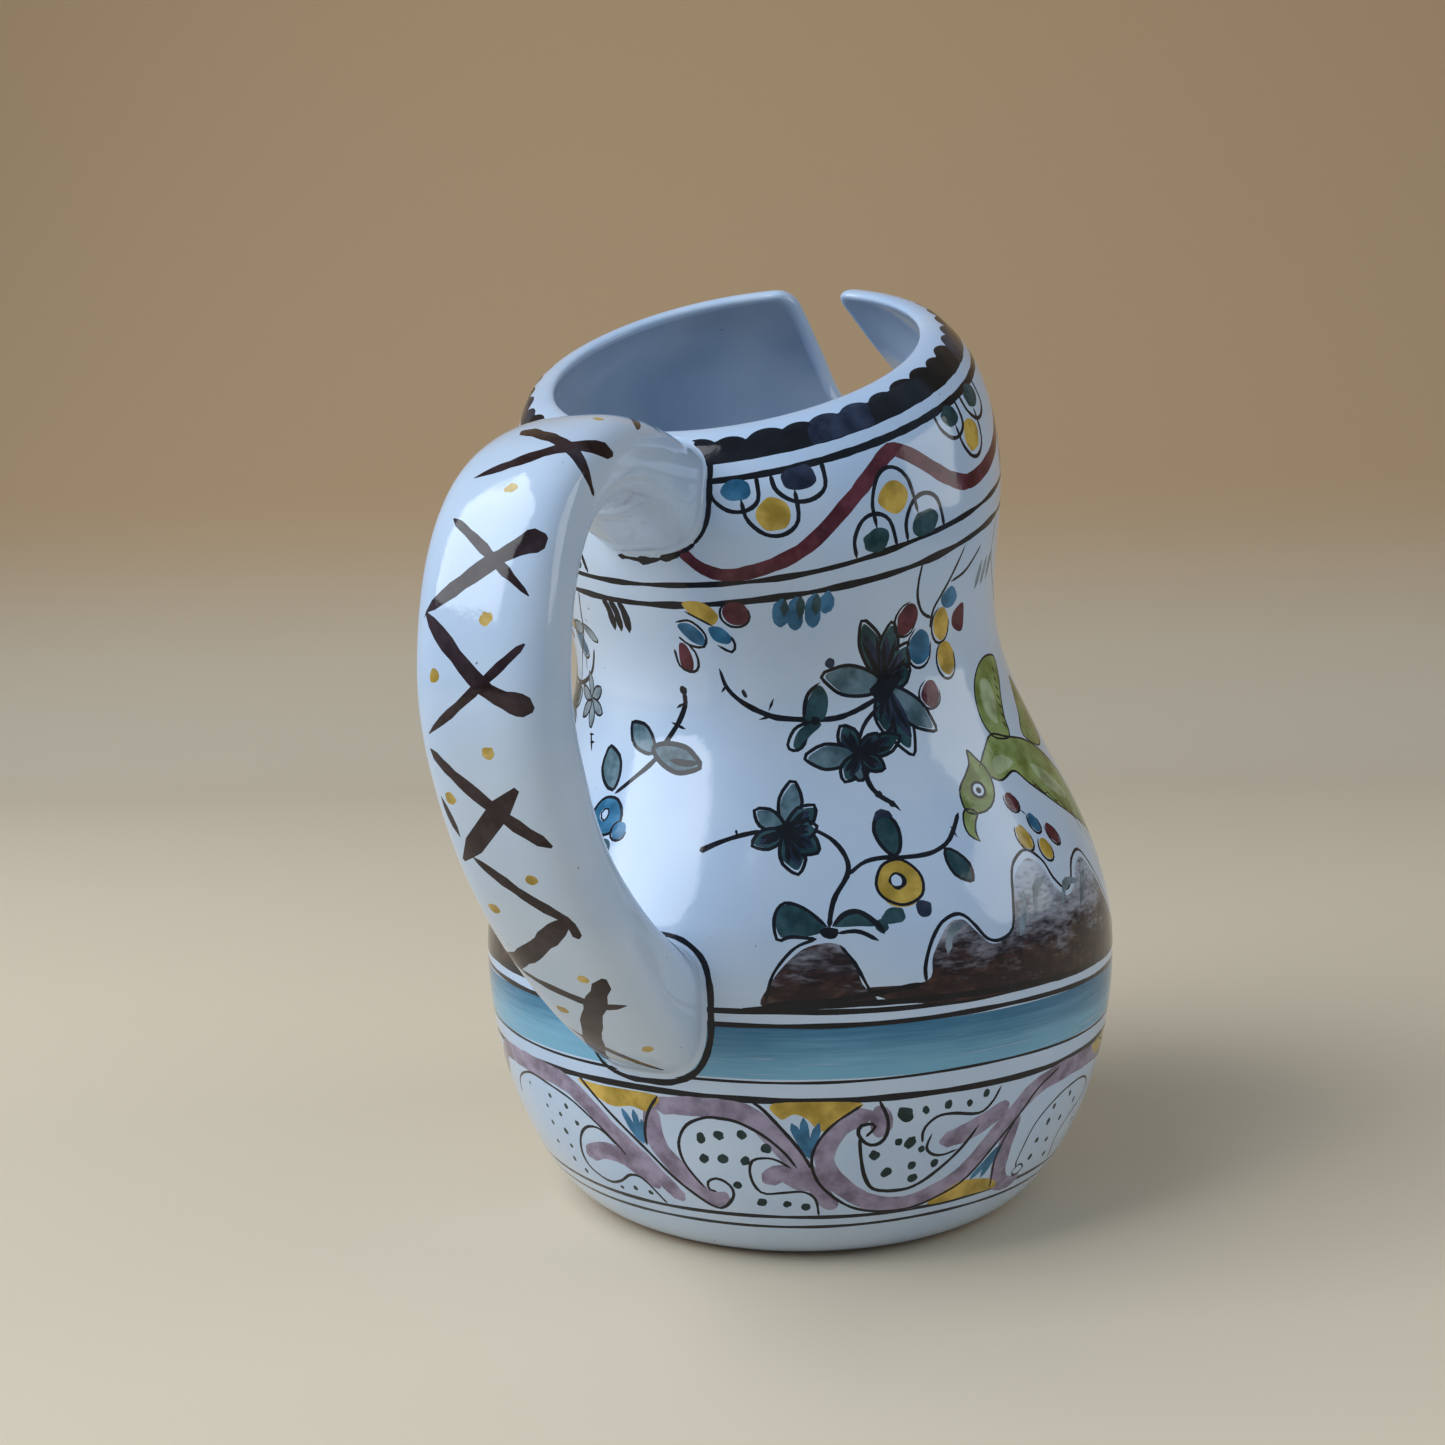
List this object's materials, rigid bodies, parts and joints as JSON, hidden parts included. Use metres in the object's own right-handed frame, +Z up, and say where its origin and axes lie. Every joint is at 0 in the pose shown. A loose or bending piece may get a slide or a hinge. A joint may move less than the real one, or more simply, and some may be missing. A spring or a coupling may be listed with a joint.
{
  "type": "ceramic pitcher",
  "caption": "Hand-thrown glazed earthenware pitcher with a round belly, a sloping collar, a pulled open spout and a rounded strap handle, painted with birds, flowers and scrolls.",
  "frame": {"origin": "middle of the flat foot, on the surface that the pitcher stands on", "axes": "+Z up out of the mouth, +Y towards the spout, the handle towards -Y, +X to the right when looking from the handle to the spout"},
  "size_m": [0.1238, 0.1695, 0.1824],
  "materials": {
    "glazed_body": "gloss",
    "glazed_handle": "gloss"
  },
  "bodies": {
    "root": {"pitcher_body": "glazed_body", "handle": "glazed_handle"}
  },
  "joints": []
}
